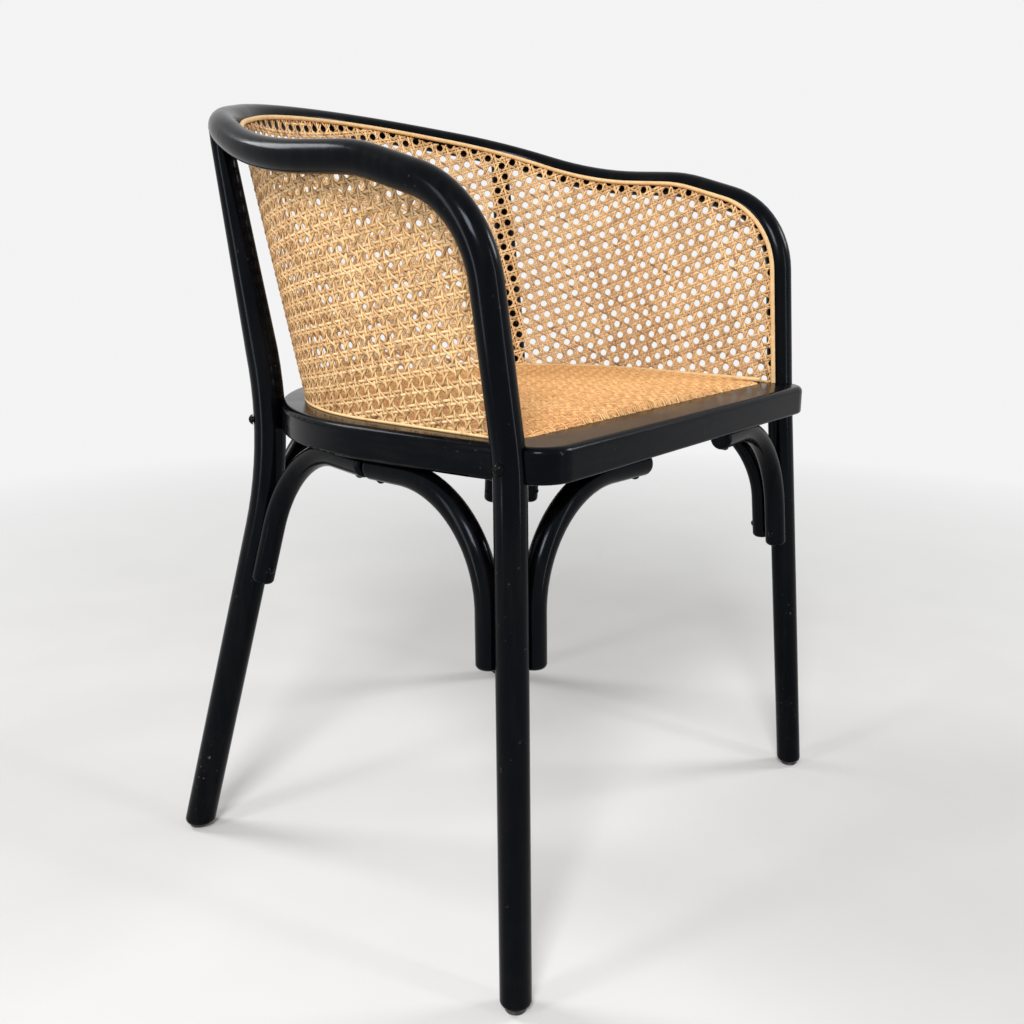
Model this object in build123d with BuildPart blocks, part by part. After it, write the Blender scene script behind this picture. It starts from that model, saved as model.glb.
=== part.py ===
from build123d import *
from math import asin, cos, radians, sin, sqrt, tan
import os

os.makedirs("parts", exist_ok=True)

# Bentwood armchair with a wrap-around cane back and a close-woven cane seat.
# Millimetres, +Z up, the floor at Z = 0. The front faces -Y and the sitter's right is -X.

# Overall sizes
overall_height = 760.0
seat_height = 465.0
fit_gap = 0.3

# Seat frame: a bent ring, half round at the back, with slightly bowed sides and rounded front corners
seat_radius = 250.0
seat_centre_y = -60.0
seat_front_y = -260.0
seat_front_half_width = 236.0
seat_corner_radius = 31.0
rim_thickness = 29.0
rim_width = 55.0
rim_front_width = 74.0
rim_top_round = 6.0
rim_bottom_round = 3.0

# Bent hoop: front legs, arm uprights, arms and back rail in one rod. Drops are below the overall height
hoop_diameter = 27.0
front_foot_x = 269.0
front_foot_y = -253.0
knee_y = -224.0
knee_radius = 300.0
arm_corner_y = -203.0
arm_corner_drop = 116.0
arm_corner_radius = 92.0
arm_crest_y = -85.0
arm_crest_drop = 82.0
arm_crest_radius = 170.0
arm_end_y = 37.0
arm_end_drop = 76.0
arm_end_radius = 260.0
rear_bend_angle = 52.3
rear_bend_offset = 7.7
rear_bend_drop = 39.0
rear_bend_radius = 210.0
back_bend_x = 78.0
back_bend_radius = 225.0
foot_round = 5.0

# Rear legs: bent outwards above and below the seat, tapered towards the rail
rear_leg_diameter = 31.0
rear_leg_top_diameter = 20.0
rear_leg_top_offset = 4.0
rear_foot_x = 261.0
rear_foot_y = 192.5
rear_leg_angle = 48.5
rear_knee_offset = 4.0
rear_knee_drop = 42.0
rear_knee_radius = 450.0

# Cane back: one sheet that leans outwards from the seat to the rail
wall_half_width = 226.0
wall_thickness = 2.0
side_lean = 0.07
back_lean = 0.26
wall_edge_drop = 6.0
rail_spline_diameter = 4.5
base_spline_diameter = 5.0

# Seat panel: a board in a rebate of the ring, with crowned woven cane over it
panel_front_inset = 49.0
panel_front_draw = 5.0
panel_corner_radius = 14.0
opening_corner_radius = 45.0
panel_gap = 0.5
board_thickness = 8.0
board_drop = 2.0
seat_crown = 8.0
seat_edge_rise = 2.0
seat_edge_round = 2.0

# Braces: quarter bends between the legs and the seat frame
brace_diameter = 22.0
brace_drop = 181.0
brace_flat = 2.0
brace_inset = 18.0
front_brace_inset = 20.0
brace_bend_radius = 104.0
brace_end_round = 4.5
brace_screw_inset = 14.0
side_brace_meet_y = -62.0
brace_end_gap = 3.0
front_brace_end_x = 70.0
rear_brace_end_x = 70.0

# Fasteners and feet
leg_screw_head_diameter = 10.5
leg_screw_head_height = 4.0
leg_screw_diameter = 6.0
leg_screw_length = 66.0
leg_screw_drop = 16.0
rear_bolt_drop = 20.0
washer_diameter = 13.0
washer_thickness = 1.5
nut_width = 10.0
nut_thickness = 5.0
bolt_overrun = 2.0
brace_screw_head_diameter = 7.5
brace_screw_head_height = 2.2
brace_screw_diameter = 3.6
brace_screw_bite = 12.0
board_screw_head_diameter = 8.0
board_screw_head_height = 2.4
board_screw_diameter = 4.0
board_screw_bite = 5.0
dowel_diameter = 8.0
dowel_in_leg = 26.0
dowel_in_rail = 6.0
glide_diameter = 19.0
glide_height = 4.0
glide_round = 1.5

# Share of a straight run that each of two bends may take, and the length left straight at a path's ends
shared_run = 0.49
straight_end = brace_screw_inset + brace_screw_head_diameter

hoop_radius = hoop_diameter / 2
rear_leg_radius = rear_leg_diameter / 2
brace_radius = brace_diameter / 2
rim_bottom_z = seat_height - rim_thickness
leg_screw_z = seat_height - leg_screw_drop
rear_bolt_z = seat_height - rear_bolt_drop
brace_foot_z = seat_height - brace_drop
seat_centre = Vector(0, seat_centre_y, seat_height)
up = Vector(0, 0, 1)
wall_foot_y = seat_centre_y + wall_half_width
base_half_width = wall_half_width - wall_thickness - fit_gap - base_spline_diameter / 2
panel_radius = base_half_width - base_spline_diameter / 2


def side_x(height):
    """Half width of the cane wall's outer face along the sides, at a height."""
    return wall_half_width + side_lean * (height - seat_height)


def wall_centre_y(height):
    """Centre of the cane wall's half round back, at a height."""
    return wall_foot_y + back_lean * (height - seat_height) - side_x(height)


def hoop_x(height):
    """Distance of the hoop's axis from the middle plane where the wall lies against it."""
    return side_x(height) + fit_gap + hoop_radius


def beside_wall(y, height):
    """Point of the hoop's axis on the right, beside the wall's straight side."""
    return Vector(-hoop_x(height), y, height)


def bend_radii(points, radii):
    """Radii for a path's corners, no larger than the straight runs beside them allow."""
    last = len(points) - 2
    fitted = []
    for i, radius in enumerate(radii, start=1):
        before = points[i] - points[i - 1]
        after = points[i + 1] - points[i]
        room_before = before.length - straight_end if i == 1 else before.length * shared_run
        room_after = after.length - straight_end if i == last else after.length * shared_run
        half_turn = radians(before.get_angle(after)) / 2
        fitted.append(min(radius, min(room_before, room_after) / tan(half_turn)))
    return fitted


def mid_of_bend(before, corner, after, radius):
    """Middle of the arc that rounds a corner."""
    towards_before = (before - corner).normalized()
    towards_after = (after - corner).normalized()
    half_corner = radians(towards_before.get_angle(towards_after)) / 2
    inwards = (towards_before + towards_after).normalized()
    return corner + inwards * (radius / sin(half_corner) - radius)


def mirrored(point):
    """The same point on the other side of the chair."""
    return Vector(-point.X, point.Y, point.Z)


def at_height(low, high, height):
    """Point of a straight run at a height."""
    return low + (high - low) * ((height - low.Z) / (high.Z - low.Z))


def flat_direction(start, end):
    """Level unit vector from one point towards another."""
    return Vector(end.X - start.X, end.Y - start.Y, 0).normalized()


def across(direction):
    """A unit vector square to a direction."""
    side = direction.cross(up) if abs(direction.Z) < 0.9 else direction.cross(Vector(1, 0, 0))
    return side.normalized()


def rod_section(path, diameter):
    """Round section at the start of a path."""
    with BuildSketch(Plane(origin=path @ 0, z_dir=path % 0)) as section:
        Circle(diameter / 2)
    return section.sketch


def dome_screw(seat, direction, head, head_height, shank, length, mode=Mode.ADD):
    """Dome-headed screw with the head's flat at seat and the shank along direction."""
    radial = across(direction)
    dome_radius = (head**2 / 4 + head_height**2) / (2 * head_height)
    dome_angle = asin(head / 2 / dome_radius) / 2
    dome_middle = (dome_radius * sin(dome_angle), dome_radius * (1 - cos(dome_angle)) - head_height)
    with BuildSketch(Plane(origin=seat, x_dir=radial, z_dir=radial.cross(direction))) as profile:
        with BuildLine():
            Polyline((0, -head_height), (0, length), (shank / 2, length), (shank / 2, 0), (head / 2, 0))
            ThreePointArc((head / 2, 0), dome_middle, (0, -head_height))
        make_face()
    revolve(profile.sketch, axis=Axis(seat, direction), mode=mode)


def seat_outline(height, radius, front_half_width, front_y, corner_radius):
    """A seat-shaped outline at a height: half round at the back, straight at the front, bowed sides."""
    front = (front_half_width, front_y)
    side = (radius, seat_centre_y)
    with BuildSketch(Plane.XY.offset(height)) as outline:
        with BuildLine():
            CenterArc((0, seat_centre_y), radius, 0, 180)
            TangentArc(side, front, tangent=(0, -1))
            TangentArc((-side[0], side[1]), (-front[0], front[1]), tangent=(0, -1))
            Line(front, (-front[0], front[1]))
        make_face()
        fillet(vertices().group_by(Axis.Y)[0], radius=corner_radius)
    return outline.sketch


def panel_outline(height, gap):
    """Outline of the rebate for the seat panel, or of a piece smaller than it by a gap."""
    return seat_outline(
        height,
        panel_radius - gap,
        panel_radius - panel_front_draw - gap,
        seat_front_y + panel_front_inset + gap,
        panel_corner_radius - gap,
    )


def wall_band(height, front_y):
    """The cane wall's section at a height: two straight sides and a half round back."""
    outer = side_x(height)
    inner = outer - wall_thickness
    centre_y = wall_centre_y(height)
    with BuildSketch(Plane.XY.offset(height)) as band:
        with BuildLine():
            CenterArc((0, centre_y), outer, 0, 180)
            Polyline((-outer, centre_y), (-outer, front_y), (-inner, front_y), (-inner, centre_y))
            CenterArc((0, centre_y), inner, 180, -180)
            Polyline((inner, centre_y), (inner, front_y), (outer, front_y), (outer, centre_y))
        make_face()
    return band.sketch


# Corners of the hoop's right half, from below the foot's level cut to the back rail
back_rail_z = overall_height - hoop_radius
back_rail_y = wall_centre_y(back_rail_z) + hoop_x(back_rail_z)
rear_bend_z = overall_height - rear_bend_drop
rear_bend_reach = hoop_x(rear_bend_z) + rear_bend_offset
rear_bend = Vector(
    -rear_bend_reach * sin(radians(rear_bend_angle)),
    wall_centre_y(rear_bend_z) + rear_bend_reach * cos(radians(rear_bend_angle)),
    rear_bend_z,
)
hoop_foot = Vector(-front_foot_x, front_foot_y, 0)
hoop_knee = Vector(-hoop_x(seat_height), knee_y, leg_screw_z)
arm_corner = beside_wall(arm_corner_y, overall_height - arm_corner_drop)
arm_crest = beside_wall(arm_crest_y, overall_height - arm_crest_drop)
arm_end = beside_wall(arm_end_y, overall_height - arm_end_drop)
hoop_corners = [
    at_height(hoop_foot, hoop_knee, -hoop_diameter),
    hoop_knee,
    arm_corner,
    arm_crest,
    arm_end,
    rear_bend,
    Vector(-back_bend_x, back_rail_y, back_rail_z),
]
hoop_points = hoop_corners + [mirrored(p) for p in reversed(hoop_corners)]
half_radii = [knee_radius, arm_corner_radius, arm_crest_radius, arm_end_radius, rear_bend_radius, back_bend_radius]
hoop_radii = bend_radii(hoop_points, half_radii + half_radii[::-1])
knee_middle = mid_of_bend(*hoop_corners[:3], hoop_radii[0])
rail_joint = mid_of_bend(*hoop_corners[4:7], hoop_radii[4])

# Corners of the right rear leg, which ends under the rail's outer half at the middle of its rear bend
knee_reach = seat_radius + rear_knee_offset
rear_knee_plan = Vector(-sin(radians(rear_leg_angle)), cos(radians(rear_leg_angle)), 0)
rear_foot = Vector(-rear_foot_x, rear_foot_y, 0)
rear_knee = seat_centre + rear_knee_plan * knee_reach - up * rear_knee_drop
rear_top = rail_joint + flat_direction(rail_joint, hoop_corners[5]) * rear_leg_top_offset
rear_points = [at_height(rear_foot, rear_knee, -rear_leg_diameter), rear_knee, rear_top]
rear_radii = bend_radii(rear_points, [rear_knee_radius])
rear_upper_direction = (rear_top - rear_knee).normalized()
rear_seat_point = mid_of_bend(*rear_points, rear_radii[0])
rear_bolt_direction = flat_direction(rear_seat_point, seat_centre)

# Braces: where each one starts on its leg and ends under the ring
brace_z = rim_bottom_z - brace_radius + brace_flat
ring_mid_side = Vector(-(seat_radius - brace_inset), side_brace_meet_y, brace_z)
rear_ring = seat_radius - brace_inset
rear_brace_end = Vector(
    -rear_brace_end_x, seat_centre_y + sqrt(rear_ring**2 - rear_brace_end_x**2), brace_z
)
front_brace_end = Vector(-front_brace_end_x, seat_front_y + front_brace_inset, brace_z)
side_step = Vector(0, brace_end_gap / 2, 0)
brace_plans = {
    "front_side_brace": (hoop_foot, hoop_knee, hoop_radius, ring_mid_side - side_step),
    "front_brace": (hoop_foot, hoop_knee, hoop_radius, front_brace_end),
    "rear_side_brace": (rear_foot, rear_knee, rear_leg_radius, ring_mid_side + side_step),
    "rear_brace": (rear_foot, rear_knee, rear_leg_radius, rear_brace_end),
}


def brace_points(leg_low, leg_high, leg_radius, ring_end):
    """Corners of a brace: up along the leg, then level under the ring."""
    low_axis = at_height(leg_low, leg_high, brace_foot_z)
    high_axis = at_height(leg_low, leg_high, brace_z)
    away = flat_direction(high_axis, ring_end)
    leg_direction = (leg_high - leg_low).normalized()
    step = away * ((leg_radius + fit_gap + brace_radius) / away.cross(leg_direction).length)
    return [low_axis + step, high_axis + step, ring_end]


def brace_fixings(leg_low, leg_high, leg_radius, ring_end, mode=Mode.ADD):
    """The two screws of a brace: one level into the leg, one upwards into the ring."""
    low, high, end = brace_points(leg_low, leg_high, leg_radius, ring_end)
    at_leg = at_height(low, high, brace_foot_z + brace_screw_inset)
    into_leg = flat_direction(ring_end, at_leg)
    at_ring = end - flat_direction(high, end) * brace_screw_inset
    fixings = [(at_leg, into_leg), (at_ring, up)]
    for point, direction in fixings:
        dome_screw(
            point - direction * brace_radius,
            direction,
            brace_screw_head_diameter,
            brace_screw_head_height,
            brace_screw_diameter,
            brace_diameter + brace_screw_bite,
            mode,
        )


# Fasteners come first, because the wood takes its holes from them
with BuildPart() as brace_screws:
    for plan in brace_plans.values():
        brace_fixings(*plan)
    mirror(brace_screws.part, about=Plane.YZ)

with BuildPart() as front_leg_screws:
    dome_screw(
        knee_middle - Vector(hoop_radius, 0, 0),
        Vector(1, 0, 0),
        leg_screw_head_diameter,
        leg_screw_head_height,
        leg_screw_diameter,
        leg_screw_length,
    )
    mirror(front_leg_screws.part, about=Plane.YZ)

# The rear bolts run through leg and ring to a washer and a nut on the ring's inner face
bolt_axis_point = Vector(rear_seat_point.X, rear_seat_point.Y, rear_bolt_z)
ring_inner = seat_centre - rear_bolt_direction * (seat_radius - rim_width)
washer_seat = Vector(ring_inner.X, ring_inner.Y, rear_bolt_z) + rear_bolt_direction * fit_gap
nut_seat = washer_seat + rear_bolt_direction * washer_thickness
rear_head_seat = bolt_axis_point - rear_bolt_direction * rear_leg_radius
rear_bolt_length = (nut_seat - rear_head_seat).length + nut_thickness + bolt_overrun
washer_plane = Plane(origin=washer_seat, z_dir=rear_bolt_direction)
nut_plane = Plane(origin=nut_seat, z_dir=rear_bolt_direction)

with BuildPart() as rear_leg_bolts:
    dome_screw(
        rear_head_seat,
        rear_bolt_direction,
        leg_screw_head_diameter,
        leg_screw_head_height,
        leg_screw_diameter,
        rear_bolt_length,
    )
    mirror(rear_leg_bolts.part, about=Plane.YZ)

with BuildPart() as rear_bolt_washers:
    with BuildSketch(washer_plane):
        Circle(washer_diameter / 2)
        Circle(leg_screw_diameter / 2, mode=Mode.SUBTRACT)
    extrude(amount=washer_thickness)
    mirror(rear_bolt_washers.part, about=Plane.YZ)

with BuildPart() as rear_bolt_nuts:
    with BuildSketch(nut_plane):
        RegularPolygon(nut_width / 2, 6, major_radius=False)
        Circle(leg_screw_diameter / 2, mode=Mode.SUBTRACT)
    extrude(amount=nut_thickness)
    mirror(rear_bolt_nuts.part, about=Plane.YZ)

with BuildPart() as rail_dowels:
    with BuildSketch(Plane(origin=rear_top - rear_upper_direction * dowel_in_leg, z_dir=rear_upper_direction)):
        Circle(dowel_diameter / 2)
    extrude(amount=dowel_in_leg + dowel_in_rail)
    mirror(rail_dowels.part, about=Plane.YZ)

# Screws up through the ring's ledge into the board, on both sides and at the back and front
ledge_radius = (panel_radius + seat_radius - rim_width) / 2
ledge_front_y = seat_front_y + (panel_front_inset + rim_front_width) / 2
board_bottom_z = seat_height - board_drop - board_thickness
ledge_points = [
    (0, seat_centre_y + ledge_radius),
    (ledge_radius, seat_centre_y),
    (-ledge_radius, seat_centre_y),
    (seat_front_half_width / 2, ledge_front_y),
    (-seat_front_half_width / 2, ledge_front_y),
]

with BuildPart() as seat_board_screws:
    for x, y in ledge_points:
        dome_screw(
            Vector(x, y, rim_bottom_z),
            up,
            board_screw_head_diameter,
            board_screw_head_height,
            board_screw_diameter,
            board_bottom_z - rim_bottom_z + board_screw_bite,
        )

# Bent hoop
with BuildPart() as arm_back_hoop:
    with BuildLine() as hoop_path:
        FilletPolyline(*hoop_points, radius=hoop_radii)
    sweep(rod_section(hoop_path.wire(), hoop_diameter))
    split(bisect_by=Plane.XY.offset(glide_height), keep=Keep.TOP)
    fillet(faces().group_by(Axis.Z)[0].edges(), radius=foot_round)
    for fixing in (front_leg_screws, brace_screws, rail_dowels):
        add(fixing.part, mode=Mode.SUBTRACT)

# The room that the hoop and the rear legs take in the pieces cut to them
with BuildPart() as hoop_room:
    with BuildLine() as hoop_room_path:
        FilletPolyline(*hoop_points, radius=hoop_radii)
    sweep(rod_section(hoop_room_path.wire(), hoop_diameter + 2 * fit_gap))

with BuildPart() as rear_leg_room:
    with BuildLine() as rear_room_path:
        FilletPolyline(*rear_points, radius=rear_radii)
    sweep(rod_section(rear_room_path.wire(), rear_leg_diameter + 2 * fit_gap))
    mirror(rear_leg_room.part, about=Plane.YZ)

# Rear legs: round and even up to the end of the bend, then tapered to the rail
with BuildLine() as rear_leg_path:
    FilletPolyline(*rear_points, radius=rear_radii)
lower_run, leg_bend, upper_run = rear_leg_path.edges().sort_by(Axis.Z)
lower_leg = Wire([lower_run, leg_bend])

with BuildPart() as rear_leg_right:
    sweep(rod_section(lower_leg, rear_leg_diameter), path=lower_leg)
    with BuildSketch(Plane(origin=upper_run @ 0, z_dir=rear_upper_direction)):
        Circle(rear_leg_radius)
    with BuildSketch(Plane(origin=rear_top, z_dir=rear_upper_direction)):
        Circle(rear_leg_top_diameter / 2)
    loft()
    split(bisect_by=Plane.XY.offset(glide_height), keep=Keep.TOP)
    fillet(faces().group_by(Axis.Z)[0].edges(), radius=foot_round)
    for cutter in (hoop_room, brace_screws, rear_leg_bolts, rail_dowels):
        add(cutter.part, mode=Mode.SUBTRACT)

with BuildPart() as rear_leg_left:
    mirror(rear_leg_right.part, about=Plane.YZ)

# Seat frame: the ring with its rebate and its opening, let in for the four legs
with BuildPart() as seat_frame:
    ring = seat_outline(rim_bottom_z, seat_radius, seat_front_half_width, seat_front_y, seat_corner_radius)
    extrude(ring, amount=rim_thickness)
    fillet(faces().sort_by(Axis.Z)[-1].edges(), radius=rim_top_round)
    fillet(faces().sort_by(Axis.Z)[0].edges(), radius=rim_bottom_round)
    extrude(panel_outline(board_bottom_z, 0), amount=board_thickness + board_drop, mode=Mode.SUBTRACT)
    opening = seat_outline(
        rim_bottom_z,
        seat_radius - rim_width,
        seat_front_half_width - rim_width,
        seat_front_y + rim_front_width,
        opening_corner_radius,
    )
    extrude(opening, amount=rim_thickness, mode=Mode.SUBTRACT)
    for cutter in (hoop_room, rear_leg_room, brace_screws, front_leg_screws, rear_leg_bolts, seat_board_screws):
        add(cutter.part, mode=Mode.SUBTRACT)

# Seat board
with BuildPart() as seat_board:
    extrude(panel_outline(board_bottom_z, panel_gap), amount=board_thickness)
    add(seat_board_screws.part, mode=Mode.SUBTRACT)

# Woven seat cane: a low dome over the board, rounded off at its edge
dome_rise = seat_crown - seat_edge_rise
dome_radius = (panel_radius**2 + dome_rise**2) / (2 * dome_rise)

with BuildPart() as seat_cane:
    extrude(panel_outline(seat_height - board_drop, panel_gap), amount=board_drop + seat_crown)
    with Locations((0, seat_centre_y, seat_height + seat_crown - dome_radius)):
        Sphere(dome_radius, mode=Mode.INTERSECT)
    fillet(faces().sort_by(Axis.Z)[-1].edges(), radius=seat_edge_round)

# Cane back: a leaning sheet, trimmed in side view along the uprights, the arms and the rail
upright_at_seat = at_height(hoop_corners[1], hoop_corners[2], seat_height)
trim_points = [Vector(upright_at_seat.Y, seat_height)]
trim_points += [Vector(p.Y, p.Z - wall_edge_drop) for p in hoop_corners[2:]]
trim_radii = bend_radii(trim_points, [arm_corner_radius, arm_crest_radius, arm_end_radius, arm_end_radius])
trim_shift = Vector(wall_edge_drop, 0)

with BuildPart() as cane_back:
    loft([wall_band(height, seat_front_y) for height in (seat_height, overall_height)], ruled=True)
    with BuildSketch(Plane.YZ):
        with BuildLine():
            FilletPolyline(*[p + trim_shift for p in trim_points], radius=trim_radii)
            Polyline(
                trim_points[-1] + trim_shift,
                (back_rail_y + hoop_diameter, back_rail_z - wall_edge_drop),
                (back_rail_y + hoop_diameter, seat_height),
                trim_points[0] + trim_shift,
            )
        make_face()
    extrude(amount=seat_radius + hoop_diameter, both=True, mode=Mode.INTERSECT)

# Reed splines: one along the hoop's inner face, one round the foot of the cane on the ring
spline_inset = hoop_radius + fit_gap + rail_spline_diameter / 2


def drawn_in(points, distance):
    """Level path of the same corners, drawn in towards the seat by a distance."""
    inner = []
    for i, point in enumerate(points):
        before = flat_direction(points[max(i - 1, 0)], points[max(i, 1)])
        after = flat_direction(points[min(i, len(points) - 2)], points[min(i + 1, len(points) - 1)])
        normal_before = Vector(before.Y, -before.X, 0)
        normal_after = Vector(after.Y, -after.X, 0)
        step = (normal_before + normal_after) * (distance / (1 + normal_before.dot(normal_after)))
        inner.append(point + step)
    return inner


rail_points = drawn_in(hoop_corners[3:] + [mirrored(p) for p in reversed(hoop_corners[3:])], spline_inset)
upright_points = [p + Vector(spline_inset, 0, 0) for p in (upright_at_seat, hoop_corners[2])]
spline_points = upright_points + rail_points + [mirrored(p) for p in reversed(upright_points)]
spline_radii = bend_radii(spline_points, hoop_radii[1:-1])

with BuildPart() as rail_spline:
    with BuildLine() as rail_spline_path:
        FilletPolyline(*spline_points, radius=spline_radii)
    sweep(rod_section(rail_spline_path.wire(), rail_spline_diameter))
    split(bisect_by=Plane.XY.offset(seat_height), keep=Keep.TOP)

base_front_y = upright_at_seat.Y + hoop_radius

with BuildPart() as base_spline:
    with BuildLine(Plane.XY.offset(seat_height + base_spline_diameter / 2)) as base_spline_path:
        Line((base_half_width, base_front_y), (base_half_width, seat_centre_y))
        CenterArc((0, seat_centre_y), base_half_width, 0, 180)
        Line((-base_half_width, seat_centre_y), (-base_half_width, base_front_y))
    sweep(rod_section(base_spline_path.wire(), base_spline_diameter))

# Foot glides
with BuildPart() as foot_glides:
    for foot in (hoop_foot, mirrored(hoop_foot), rear_foot, mirrored(rear_foot)):
        with BuildSketch(Plane(origin=foot)):
            Circle(glide_diameter / 2)
        extrude(amount=glide_height)
    fillet(edges().group_by(Axis.Z)[0], radius=glide_round)

single_pieces = {
    "arm_back_hoop": arm_back_hoop,
    "rear_leg_right": rear_leg_right,
    "rear_leg_left": rear_leg_left,
    "seat_frame": seat_frame,
    "seat_board": seat_board,
    "seat_cane": seat_cane,
    "cane_back": cane_back,
    "rail_spline": rail_spline,
    "base_spline": base_spline,
    "front_leg_screws": front_leg_screws,
    "rear_leg_bolts": rear_leg_bolts,
    "rear_bolt_washers": rear_bolt_washers,
    "rear_bolt_nuts": rear_bolt_nuts,
    "brace_screws": brace_screws,
    "rail_dowels": rail_dowels,
    "seat_board_screws": seat_board_screws,
    "foot_glides": foot_glides,
}
for name, piece in single_pieces.items():
    piece.part.label = name
    export_step(piece.part, f"parts/{name}.step")

# Braces: one under each side of each corner
for name, plan in brace_plans.items():
    points = brace_points(*plan)
    with BuildPart() as brace:
        with BuildLine() as brace_path:
            FilletPolyline(*points, radius=bend_radii(points, [brace_bend_radius]))
        sweep(rod_section(brace_path.wire(), brace_diameter))
        fillet(faces().filter_by(GeomType.PLANE).edges(), radius=brace_end_round)
        split(bisect_by=Plane.XY.offset(rim_bottom_z), keep=Keep.BOTTOM)
        brace_fixings(*plan, mode=Mode.SUBTRACT)
    with BuildPart() as left_brace:
        mirror(brace.part, about=Plane.YZ)
    for side, piece in (("right", brace), ("left", left_brace)):
        piece.part.label = f"{name}_{side}"
        export_step(piece.part, f"parts/{name}_{side}.step")
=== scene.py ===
import logging
import math
from collections.abc import Callable
from dataclasses import dataclass, field, replace
from enum import Enum

import bmesh
import bpy
from mathutils import Matrix, Vector
from mathutils.bvhtree import BVHTree


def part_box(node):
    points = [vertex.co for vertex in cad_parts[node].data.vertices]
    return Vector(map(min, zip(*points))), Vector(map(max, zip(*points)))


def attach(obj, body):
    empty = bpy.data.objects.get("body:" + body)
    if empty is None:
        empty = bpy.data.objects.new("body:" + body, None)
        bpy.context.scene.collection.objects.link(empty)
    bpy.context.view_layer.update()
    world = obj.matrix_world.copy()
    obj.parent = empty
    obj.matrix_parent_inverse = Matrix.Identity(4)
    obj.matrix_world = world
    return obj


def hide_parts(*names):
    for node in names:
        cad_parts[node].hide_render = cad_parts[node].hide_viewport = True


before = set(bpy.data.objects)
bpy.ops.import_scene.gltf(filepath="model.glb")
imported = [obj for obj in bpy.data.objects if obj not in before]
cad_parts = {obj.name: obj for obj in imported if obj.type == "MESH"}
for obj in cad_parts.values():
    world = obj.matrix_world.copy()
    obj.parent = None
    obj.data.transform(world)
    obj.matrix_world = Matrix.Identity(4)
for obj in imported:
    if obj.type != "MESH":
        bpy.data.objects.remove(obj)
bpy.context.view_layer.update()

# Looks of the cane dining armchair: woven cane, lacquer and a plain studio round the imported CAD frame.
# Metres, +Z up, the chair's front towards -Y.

LOG = logging.getLogger("armchair")
BODY = "root"
MM = 0.001
UP = Vector((0, 0, 1))
TONE_STEP = 12.9898
TONE_SPREAD = 43758.5453

Colour = tuple[float, float, float, float]
Socket = bpy.types.NodeSocket
# A vertex's place on the chair, and its strand's tone, length and offset there.
Woven = tuple[Vector, float, float, float]


class Graph:
    """A node tree that is being written."""

    def __init__(self, tree: bpy.types.NodeTree) -> None:
        """Start with an empty tree."""
        self.tree = tree
        tree.nodes.clear()

    def add(self, kind: str, inputs: dict | None = None, **settings: object) -> bpy.types.Node:
        """Add a node.

        Args:
            kind: Blender's name for the node type.
            inputs: Values by socket name or number. A socket as value is linked.
            **settings: Properties of the node.

        Returns:
            The new node.
        """
        node = self.tree.nodes.new(kind)
        for name, value in settings.items():
            setattr(node, name, value)
        for key, value in (inputs or {}).items():
            if isinstance(value, Socket):
                self.tree.links.new(value, node.inputs[key])
            else:
                node.inputs[key].default_value = value
        return node

    def math(self, operation: str, first: float | Socket, second: float | Socket = 0.0) -> Socket:
        """Add a calculation with two numbers and return its result."""
        return self.add("ShaderNodeMath", {0: first, 1: second}, operation=operation).outputs[0]

    def blend(self, factor: float | Socket, first: Colour | Socket, second: Colour | Socket) -> Socket:
        """Mix two colours and return the result."""
        mix = self.add("ShaderNodeMix", {0: factor, 6: first, 7: second}, data_type="RGBA")
        return mix.outputs[2]

    def ramp(self, value: Socket, low: float, high: float, start: float = 0.0, end: float = 1.0) -> Socket:
        """Map a value from one range to another, held at both ends."""
        inputs = {"Value": value, "From Min": low, "From Max": high, "To Min": start, "To Max": end}
        return self.add("ShaderNodeMapRange", inputs, clamp=True).outputs[0]

    def noise(self, vector: Socket, scale: float, detail: float = 2.0, roughness: float = 0.5) -> Socket:
        """Add a noise of 0 to 1 and return it."""
        inputs = {"Vector": vector, "Scale": scale, "Detail": detail, "Roughness": roughness}
        return self.add("ShaderNodeTexNoise", inputs).outputs[0]

    def place(self) -> Socket:
        """Return the object's own coordinates."""
        return self.add("ShaderNodeTexCoord").outputs["Object"]


class Effect(Enum):
    """Shader effects that several finishes share, each one node group."""

    GRAIN = "grain"
    NICKS = "nicks"
    STRAND = "strand"

    def group(self) -> bpy.types.NodeTree:
        """Return the effect's node group, made on first use."""
        known = bpy.data.node_groups.get(self.value)
        return known or {"grain": grain_group, "nicks": nicks_group, "strand": strand_group}[self.value]()


def open_group(name: str, inputs: dict[str, str], outputs: dict[str, str]) -> tuple[Graph, bpy.types.Node]:
    """Start a shader node group.

    Args:
        name: The group's name.
        inputs: Socket types by name.
        outputs: Socket types by name.

    Returns:
        The group's graph and its input node.
    """
    tree = bpy.data.node_groups.new(name, "ShaderNodeTree")
    for in_out, sockets in (("INPUT", inputs), ("OUTPUT", outputs)):
        for label, kind in sockets.items():
            tree.interface.new_socket(label, in_out=in_out, socket_type=kind)
    graph = Graph(tree)
    return graph, graph.add("NodeGroupInput")


def grain_group() -> bpy.types.NodeTree:
    """Long fibres and slow blotches of wood under a finish."""
    graph, given = open_group(
        Effect.GRAIN.value,
        {"Stretch": "NodeSocketVector"},
        {"Grain": "NodeSocketFloat", "Blotch": "NodeSocketFloat"},
    )
    place = graph.place()
    inputs = {0: place, 1: given.outputs["Stretch"]}
    stretched = graph.add("ShaderNodeVectorMath", inputs, operation="MULTIPLY").outputs[0]
    grain = graph.noise(stretched, 1.0, 5.0, 0.62)
    blotch = graph.noise(place, 14.0, 3.0)
    graph.add("NodeGroupOutput", {"Grain": grain, "Blotch": blotch})
    return graph.tree


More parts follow.
